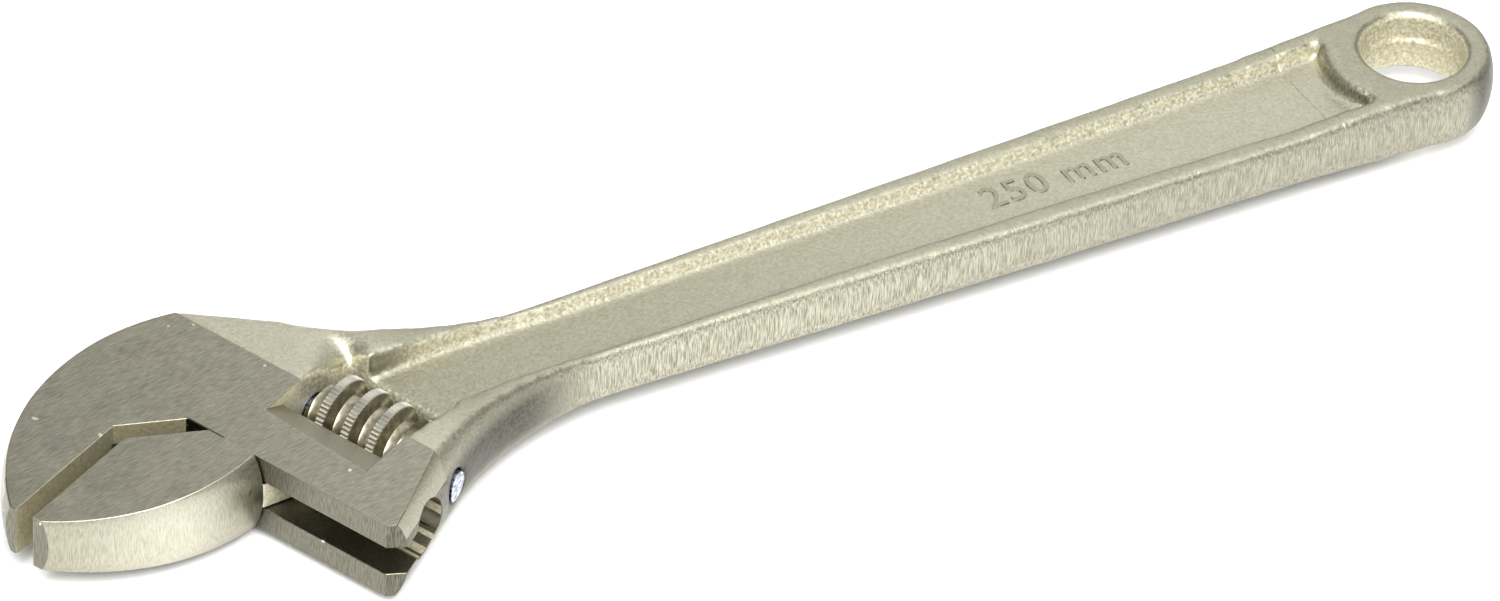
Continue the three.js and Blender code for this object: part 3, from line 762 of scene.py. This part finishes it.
# the thread is cut to length by a bevelled blank, given its hub and drilled for the pin
def trimWorm(piece):
    length = worm["end"] - worm["start"]
    makeActive(piece)
    closeEnd(piece, -1)
    closeEnd(piece, 1)
    bpy.ops.object.mode_set(mode="EDIT")
    bpy.ops.mesh.select_all(action="SELECT")
    bpy.ops.mesh.normals_make_consistent(inside=False)
    bpy.ops.object.mode_set(mode="OBJECT")
    deselectAll()
    hubLength = worm["hubEnd"] - worm["start"]
    blank = turnedBlank(132, worm["radius"] + worm["blankRoom"], 0, length)
    applyNew(blank, "ends", "BEVEL", width=worm["bevel"], segments=5, limit_method="ANGLE",
             angle_limit=radians(60))
    hub = turnedBlank(96, worm["hub"], length / 2, hubLength)
    applyNew(hub, "ends", "BEVEL", width=worm["hubBevel"], segments=4, limit_method="ANGLE",
             angle_limit=radians(60))
    drill = turnedBlank(64, worm["pinHole"], -2 * length, 2 * length)
    applyNew(piece, "blank", "BOOLEAN", operation="INTERSECT", object=blank, solver="EXACT")
    applyNew(piece, "hub", "BOOLEAN", operation="UNION", object=hub, solver="EXACT")
    applyNew(piece, "pinHole", "BOOLEAN", operation="DIFFERENCE", object=drill, solver="EXACT")
    for tool in (blank, hub, drill):
        bpy.data.objects.remove(tool)


# turned so that a crest faces the rack where the rack's groove is
def placeWorm(piece):
    phase = pi - 2 * pi * (worm["crestAtRack"] - worm["start"] - worm["pitch"] / 2) / worm["pitch"]
    upright = Matrix((depthWay, rail.cross(depthWay), rail)).transposed().to_4x4()
    start = throat + depthWay * worm["depth"] + rail * worm["start"]
    piece.matrix_world = Matrix.Translation(start) @ upright @ Matrix.Rotation(phase, 4, "Z")
    makeActive(piece)
    bpy.ops.object.transform_apply(location=True, rotation=True, scale=True)


wormPiece = makeWorm()
trimWorm(wormPiece)
placeWorm(wormPiece)
smoothShade(wormPiece, worm["smooth"])
crestLook, grooveLook = wormMaterials()
axisStart = throat + depthWay * worm["depth"]


def wormFinish(spot, normal):
    away = spot - axisStart
    reach = (away - rail * away.dot(rail)).length
    # the crests and the hub's end get the bright crest colour; the rest is painted darker as shade
    brightPart = reach > worm["root"] + worm["brightFrom"] or away.dot(rail) > worm["end"] - worm["brightEnd"]
    return "crest" if brightPart else "groove"


paintFaces(wormPiece, {"crest": crestLook, "groove": grooveLook}, wormFinish)
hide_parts("adjusting_worm")
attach(wormPiece, "worm")
print("worm made", len(wormPiece.data.polygons))

# pin and spring keep their own meshes
for node, material in (("worm_pin", bareEndMaterial()), ("worm_spring", springMaterial())):
    frame["nodes"][node].data.materials.clear()
    frame["nodes"][node].data.materials.append(material)
print("pin and spring given their materials")

# floor, light, camera
studio = {"floorSize": 4.0, "floorDrop": 0.2 * mm, "floorColour": (0.94, 0.94, 0.94),
          "world": (0.36, 0.36, 0.36), "haze": (0.78, 0.78, 0.78), "hazeTop": 0.68,
          "zenith": (1.25, 1.25, 1.25), "zenithFrom": (0.68, 0.95)}
softboxes = {"keyBox": {"azimuth": -30, "elevation": 55, "distance": 1.3, "size": (1.4, 0.9), "power": 30},
             "topBox": {"azimuth": 60, "elevation": 80, "distance": 1.2, "size": (0.8, 0.8), "power": 4},
             "handleBox": {"azimuth": 148, "elevation": 42, "distance": 0.55, "size": (0.45, 0.45),
                           "power": 0.68, "aim": (110 * mm, 0, 0)}}
camera = {"azimuth": -31.964, "elevation": 39.139, "roll": 3.245, "distance": 1449.6 * mm, "lens": 232.48,
          "sensor": 36, "farClip": 20, "aim": (-4.93 * mm, -1.89 * mm, 8.08 * mm)}


# the way out from the object, with azimuth 0 in front and turning to the right
def wayOut(azimuth, elevation):
    turn = radians(azimuth)
    rise = radians(elevation)
    return Vector((sin(turn) * cos(rise), -cos(turn) * cos(rise), sin(rise)))


def layFloor():
    deselectAll()
    bpy.ops.mesh.primitive_plane_add(size=studio["floorSize"], location=(0, 0, -studio["floorDrop"]))
    floor = bpy.context.object
    floor.name = "floor"
    floor.data.materials.append(newMaterial("paleFloor", studio["floorColour"], 0.7, 0.0)[0])


# a bright haze at the horizon, dimmer higher up and brightest overhead
def makeSky():
    world = bpy.data.worlds.new("studioWorld")
    bpy.context.scene.world = world
    world.use_nodes = True
    tree = world.node_tree
    coords = addNode(tree, "ShaderNodeTexCoord")
    parts = addNode(tree, "ShaderNodeSeparateXYZ")
    tree.links.new(coords.outputs["Generated"], parts.inputs["Vector"])
    low = rangeOf(tree, parts.outputs["Z"], 0.0, studio["hazeTop"])
    high = rangeOf(tree, parts.outputs["Z"], *studio["zenithFrom"])
    colour = blendOf(tree, high, blendOf(tree, low, studio["haze"], studio["world"]), studio["zenith"])
    tree.links.new(colour, tree.nodes["Background"].inputs["Color"])


def softbox(name, azimuth, elevation, distance, size, power, aim=(0, 0, 0)):
    away = wayOut(azimuth, elevation) * distance
    light = bpy.data.lights.new(name, "AREA")
    light.shape = "RECTANGLE"
    light.size, light.size_y = size
    light.energy = power
    lamp = bpy.data.objects.new(name, light)
    bpy.context.scene.collection.objects.link(lamp)
    lamp.location = away + Vector(aim)
    lamp.rotation_euler = away.to_track_quat("Z", "Y").to_euler()


def placeCamera():
    optics = bpy.data.cameras.new("camera")
    optics.lens = camera["lens"]
    optics.sensor_width = camera["sensor"]
    optics.clip_end = camera["farClip"]
    placed = bpy.data.objects.new("camera", optics)
    bpy.context.scene.collection.objects.link(placed)
    away = wayOut(camera["azimuth"], camera["elevation"]) * camera["distance"]
    placed.location = Vector(camera["aim"]) + away
    swing = Matrix.Rotation(radians(camera["azimuth"]), 3, "Z")
    tilt = Matrix.Rotation(pi / 2 - radians(camera["elevation"]), 3, "X")
    roll = Matrix.Rotation(radians(camera["roll"]), 3, "Z")
    placed.rotation_euler = (swing @ tilt @ roll).to_euler()
    bpy.context.scene.camera = placed


layFloor()
makeSky()
for name, settings in softboxes.items():
    softbox(name, **settings)
placeCamera()
bpy.context.scene.view_settings.view_transform = "Standard"
print("floor, lights and camera placed")

deselectAll()
